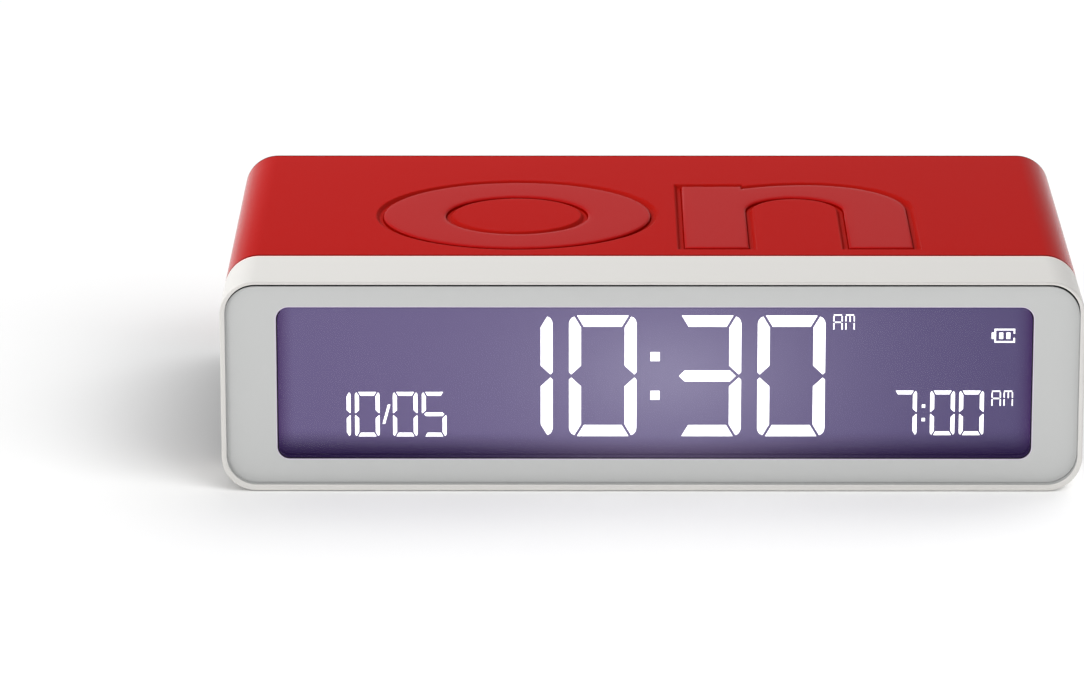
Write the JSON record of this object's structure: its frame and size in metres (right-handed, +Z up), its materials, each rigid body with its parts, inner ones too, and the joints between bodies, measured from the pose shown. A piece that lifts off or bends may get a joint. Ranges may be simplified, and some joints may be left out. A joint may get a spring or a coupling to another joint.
{
  "type": "digital alarm clock",
  "caption": "Flat slab alarm clock with a wide backlit display, turned over onto its other face to switch the alarm between on and off.",
  "frame": {"origin": "middle of the footprint, on the surface that the clock rests on", "axes": "+X to the right as the display is read, -Y out of the display, +Z up from the underside to the upper face"},
  "size_m": [0.105, 0.062, 0.0265],
  "materials": {
    "sleeve_red": "satin soft-touch coat",
    "band_white": "semi-gloss",
    "panel_grey": "fine matt",
    "window_clear": "clear, polished",
    "seal_foam": "soft foam",
    "display_film": "smooth film",
    "display_glass": "polished",
    "segment_white": "lit from behind",
    "light_box_white": "matt",
    "lamp_white": "clear resin",
    "contact_rubber": "soft, banded",
    "board_green": "solder mask",
    "chip_black": "moulded resin",
    "steel_bright": "nickel plated",
    "capacitor_blue": "shrink sleeve",
    "screw_steel": "zinc plated",
    "socket_ivory": "moulded",
    "ribbon_grey": "smooth",
    "ball_gilt": "polished",
    "foil_copper": "rolled copper",
    "rear_red": "fine spark texture",
    "cell_jacket": "printed film, plain",
    "wire_red": "extruded",
    "disc_brass": "rolled",
    "wire_black": "extruded",
    "switch_grey": "moulded",
    "button_white": "semi-gloss"
  },
  "bodies": {
    "housing": {"body_sleeve": "sleeve_red", "front_band": "band_white", "front_panel": "panel_grey", "display_window": "window_clear", "dust_seal": "seal_foam", "front_polariser": "display_film", "lcd_front_glass": "display_glass", "lcd_rear_glass": "display_glass", "rear_polariser": "display_film", "lcd_segments": "segment_white", "diffuser_plate": "light_box_white", "light_box": "light_box_white", "backlight_lamps": "lamp_white", "contact_strip": "contact_rubber", "main_board": "board_green", "chip_cover": "chip_black", "crystal_can": "steel_bright", "board_capacitors": "capacitor_blue", "board_resistors": "chip_black", "board_screws": "screw_steel", "ribbon_sockets": "socket_ivory", "button_ribbon": "ribbon_grey", "tilt_switch_cup": "chip_black", "tilt_switch_cap": "chip_black", "touch_foil": "foil_copper", "rear_panel": "rear_red", "rear_screws": "screw_steel", "upper_cell": "cell_jacket", "lower_cell": "cell_jacket", "contact_springs": "steel_bright", "bridge_plate": "steel_bright", "positive_plate": "steel_bright", "negative_plate": "steel_bright", "power_wires": "wire_red", "sounder_case": "chip_black", "sounder_disc": "disc_brass", "sounder_wires": "wire_black", "button_board": "board_green", "button_board_screws": "screw_steel", "push_switches": "switch_grey"},
    "time_key": {"time_button": "button_white", "time_plunger": "chip_black"},
    "alarm_key": {"alarm_button": "button_white", "alarm_plunger": "chip_black"},
    "plus_key": {"plus_button": "button_white", "plus_plunger": "chip_black"},
    "minus_key": {"minus_button": "button_white", "minus_plunger": "chip_black"},
    "door": {"battery_door": "rear_red"},
    "ball": {"tilt_ball": "ball_gilt"}
  },
  "joints": [
    {"name": "time_press", "type": "slide", "parent": "housing", "child": "time_key", "axis": [0, -1, 0], "range_m": [0, 0.0005], "stiffness_N_per_m": 2400},
    {"name": "alarm_press", "type": "slide", "parent": "housing", "child": "alarm_key", "axis": [0, -1, 0], "range_m": [0, 0.0005], "stiffness_N_per_m": 2400},
    {"name": "plus_press", "type": "slide", "parent": "housing", "child": "plus_key", "axis": [0, -1, 0], "range_m": [0, 0.0005], "stiffness_N_per_m": 2400},
    {"name": "minus_press", "type": "slide", "parent": "housing", "child": "minus_key", "axis": [0, -1, 0], "range_m": [0, 0.0005], "stiffness_N_per_m": 2400},
    {"name": "battery_door_hinge", "type": "hinge", "parent": "housing", "child": "door", "pos_m": [0.0049, 0.0302, 0.01325], "axis": [0, 0, -1], "range_deg": [0, 60]},
    {"name": "tilt_ball_drop", "type": "slide", "parent": "housing", "child": "ball", "axis": [0, 0, 1], "range_m": [0, 0.0022]}
  ]
}
